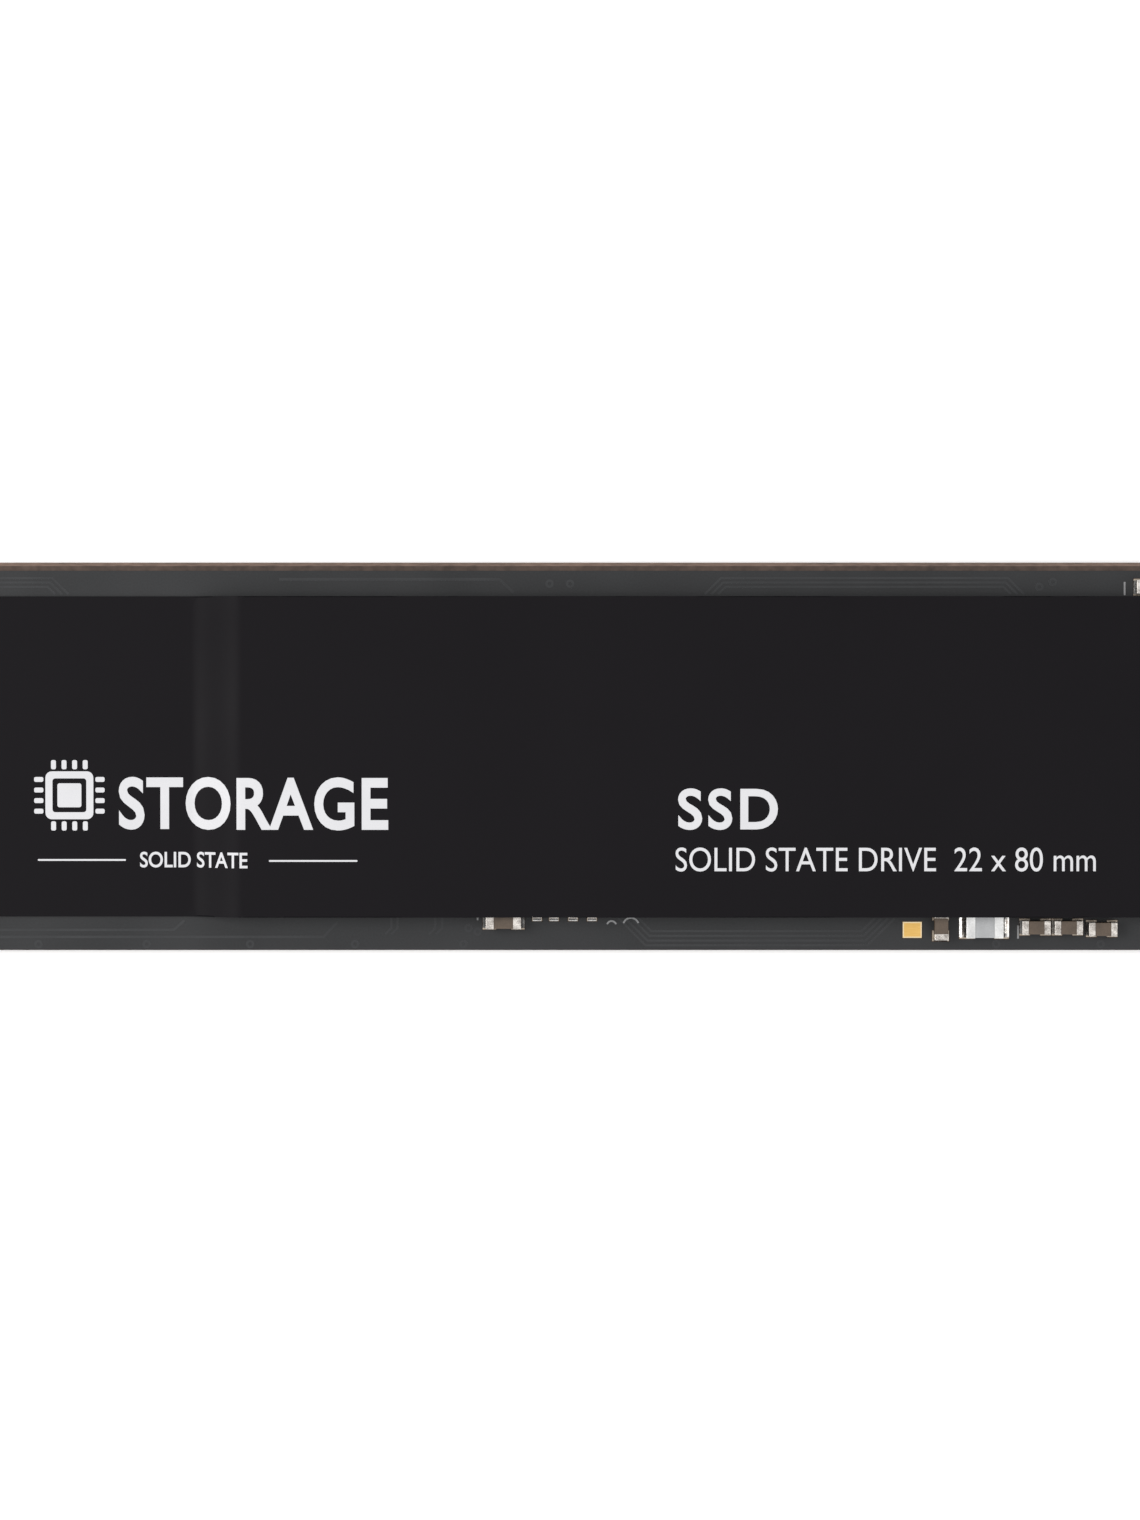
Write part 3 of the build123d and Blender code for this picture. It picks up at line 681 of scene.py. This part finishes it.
def make_vias():
    """Tented vias: low rings along the edges and round the screw ring."""
    hole_radius, outer_radius = 0.11, 0.24
    screw_row_radius, screw_row_angle = 3.35, 72
    jitter = 0.25
    places = [(x, -10.66) for x in (-36, -30, -24, -18, -12, -6, 24, 30)]
    places += [(-5.9, -9.75), (-5.1, -9.95), (26.6, 9.62), (27.5, 9.9), (-1.0, 9.8), (0.2, 9.8)]
    places += arc((BOARD_LOW[0], 0), screw_row_radius, -screw_row_angle, screw_row_angle, 6)
    for name, level, outward in (("board_vias", BOARD_TOP, 1), ("board_vias_under", BOARD_UNDER, -1)):
        low, high = sorted((level - outward * TRACE_SINK, level + outward * TRACE_RELIEF))
        bm = bmesh.new()
        for x, y in places:
            shift = random_source.uniform(-jitter, jitter)
            ring(bm, (x + shift, y), hole_radius, outer_radius, low, high, 16)
        new_piece(name, bm, TRACE)


def make_silkscreen():
    """Pale legend without lettering: polarity marks, corner marks and arcs."""
    low, high = BOARD_TOP - 0.002, BOARD_TOP + 0.012
    line = 0.10
    arc_y = -9.62
    bm = bmesh.new()
    for centre_x, radius in ((2.36, 0.32), (3.46, 0.50)):
        outer = arc((centre_x, arc_y), radius, 20, 160, 12)
        inner = arc((centre_x, arc_y), radius - line, 160, 20, 12)
        prism(bm, outer + inner, low, high)
    for x, y, length in (
        (25.45, -10.35, 0.75),
        (31.45, 9.15, 0.75),
        (-5.25, -9.3, 0.75),
        (34.95, -10.3, 0.8),
        (-36.9, -10.3, 0.8),
    ):
        prism(bm, ribbon([(x, y), (x, y + length)], line), low, high)
    new_piece("board_silkscreen", bm, SILKSCREEN)


def make_pad_highlight_rim():
    """Thin pale rim round the rectangular test pad, at the edge of its mask opening: a painted
    highlight for the pad's bright edge.
    """
    centre_x, centre_y, half_x, half_y = 19.44, -9.85, 0.54, 0.455
    width = 0.07
    bm = bmesh.new()
    for bar in frame_bars(centre_x - half_x, centre_y - half_y,
                          centre_x + half_x, centre_y + half_y, width):
        prism(bm, rounded_box(*bar, 0.02, 2), BOARD_TOP - 0.005, BOARD_TOP + 0.012)
    new_piece("test_pad_highlight_rim", bm, PAD_HIGHLIGHT_RIM)


# ---------------------------------------------------------------- studio

def add_light(name, place, target, size, power, colour):
    """Square soft light that looks at target. Places in mm."""
    data = bpy.data.lights.new(name, "AREA")
    data.shape = "SQUARE"
    data.size = size * MM
    data.energy = power
    data.color = colour
    light = bpy.data.objects.new(name, data)
    bpy.context.collection.objects.link(light)
    light.location = [value * MM for value in place]
    direction = Vector([(aim - start) * MM for aim, start in zip(target, place)])
    light.rotation_euler = direction.to_track_quat("-Z", "Y").to_euler()


def make_studio():
    """Pale floor, even surround and two soft lights, the stronger one up on the left."""
    floor_half_width = 1500.0
    floor_drop = 0.02
    floor_grey = 0.96
    surround_strength = 0.90
    bm = bmesh.new()
    bmesh.ops.create_grid(bm, x_segments=4, y_segments=4, size=floor_half_width * MM)
    mesh = bpy.data.meshes.new("floor")
    bm.to_mesh(mesh)
    bm.free()
    floor = bpy.data.objects.new("floor", mesh)
    floor.location.z = -floor_drop * MM
    bpy.context.collection.objects.link(floor)
    pale = bpy.data.materials.new("pale_floor")
    pale.use_nodes = True
    surface = pale.node_tree.nodes["Principled BSDF"]
    surface.inputs["Base Color"].default_value = (floor_grey, floor_grey, floor_grey, 1)
    surface.inputs["Roughness"].default_value = 0.9
    surface.inputs["Specular IOR Level"].default_value = 0.1
    mesh.materials.append(pale)

    scene = bpy.context.scene
    world = bpy.data.worlds.new("surround")
    world.use_nodes = True
    background = world.node_tree.nodes["Background"]
    background.inputs["Color"].default_value = (1.0, 1.0, 1.0, 1)
    background.inputs["Strength"].default_value = surround_strength
    scene.world = world
    scene.view_settings.view_transform = "Standard"
    add_light("key", (-330, 60, 320), (0, 0, 0), 260, 1.7, (1.0, 0.99, 0.98))
    add_light("fill", (280, -160, 300), (0, 0, 0), 320, 0.45, (0.98, 0.99, 1.0))


def make_camera():
    """Looks down on the board from a little towards its far edge; both ends are cropped."""
    frame_height = 86.27
    lens = 100.0
    sensor = 36.0
    lean = math.radians(1.2)
    distance = frame_height * lens / sensor
    aim = (0.0, -0.2, BOARD_TOP)
    data = bpy.data.cameras.new("camera")
    data.type = "PERSP"
    data.lens = lens
    data.sensor_width = sensor
    data.clip_start = 0.01
    camera = bpy.data.objects.new("camera", data)
    bpy.context.collection.objects.link(camera)
    camera.location = (
        aim[0] * MM,
        (aim[1] + distance * math.sin(lean)) * MM,
        (aim[2] + distance * math.cos(lean)) * MM,
    )
    camera.rotation_euler = (-lean, 0, 0)
    bpy.context.scene.camera = camera


dress_nodes()
make_labels()
make_print()
make_under_print()
make_traces()
make_vias()
make_silkscreen()
make_pad_highlight_rim()
make_studio()
make_camera()
